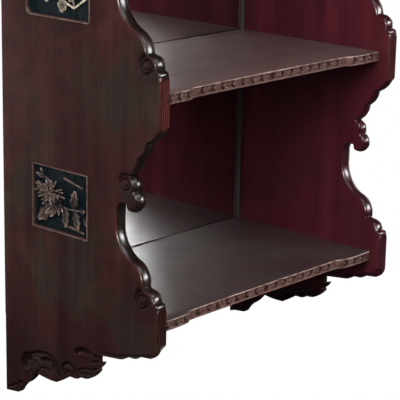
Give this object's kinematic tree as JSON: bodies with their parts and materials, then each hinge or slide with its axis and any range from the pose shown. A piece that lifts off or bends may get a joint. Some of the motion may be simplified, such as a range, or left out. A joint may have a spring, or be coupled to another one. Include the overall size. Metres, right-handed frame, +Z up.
{
  "type": "wall-hung book cabinet",
  "caption": "Open wall-hung book cabinet in dark carved hardwood: scrolled sides with flower tablets, carved shelf edges and a mirrored back.",
  "frame": {"origin": "midway between the two wall screw holes, on the cabinet's rear plane", "axes": "+Z up, +Y into the wall, so the front faces -Y; +X along the shelves to the right seen from the front"},
  "size_m": [0.5096, 0.3, 1.217],
  "materials": {
    "polished_wood": "dark red-brown hardwood, polished over a thin lacquer",
    "carved_edge": "carved hardwood, worn lighter on its high points",
    "mirror_plate": "silvered plate glass",
    "backing_wood": "plain unpolished softwood stained brown",
    "flower_tablet": "black lacquer ground with rubbed gilt relief",
    "tablet_frame": "moulded hardwood, worn lighter on its bead"
  },
  "bodies": {
    "root": {"left_side_panel": "polished_wood", "right_side_panel": "polished_wood", "shelf_1": "polished_wood", "shelf_2": "polished_wood", "shelf_3": "polished_wood", "top_board": "polished_wood", "hanging_rail": "polished_wood", "crest_board": "polished_wood", "mirror_bead_left_1": "polished_wood", "mirror_bead_left_2": "polished_wood", "mirror_bead_left_3": "polished_wood", "mirror_bead_right_1": "polished_wood", "mirror_bead_right_2": "polished_wood", "mirror_bead_right_3": "polished_wood", "shelf_edge_1": "carved_edge", "shelf_edge_2": "carved_edge", "shelf_edge_3": "carved_edge", "top_edge": "carved_edge", "mirror_1": "mirror_plate", "mirror_2": "mirror_plate", "mirror_3": "mirror_plate", "backing_board_1": "backing_wood", "backing_board_2": "backing_wood", "backing_board_3": "backing_wood", "backing_board_4": "backing_wood", "left_tablet_1": "flower_tablet", "left_tablet_2": "flower_tablet", "left_tablet_3": "flower_tablet", "right_tablet_1": "flower_tablet", "right_tablet_2": "flower_tablet", "right_tablet_3": "flower_tablet", "left_tablet_frame_1": "tablet_frame", "left_tablet_frame_2": "tablet_frame", "left_tablet_frame_3": "tablet_frame", "right_tablet_frame_1": "tablet_frame", "right_tablet_frame_2": "tablet_frame", "right_tablet_frame_3": "tablet_frame"}
  },
  "joints": []
}
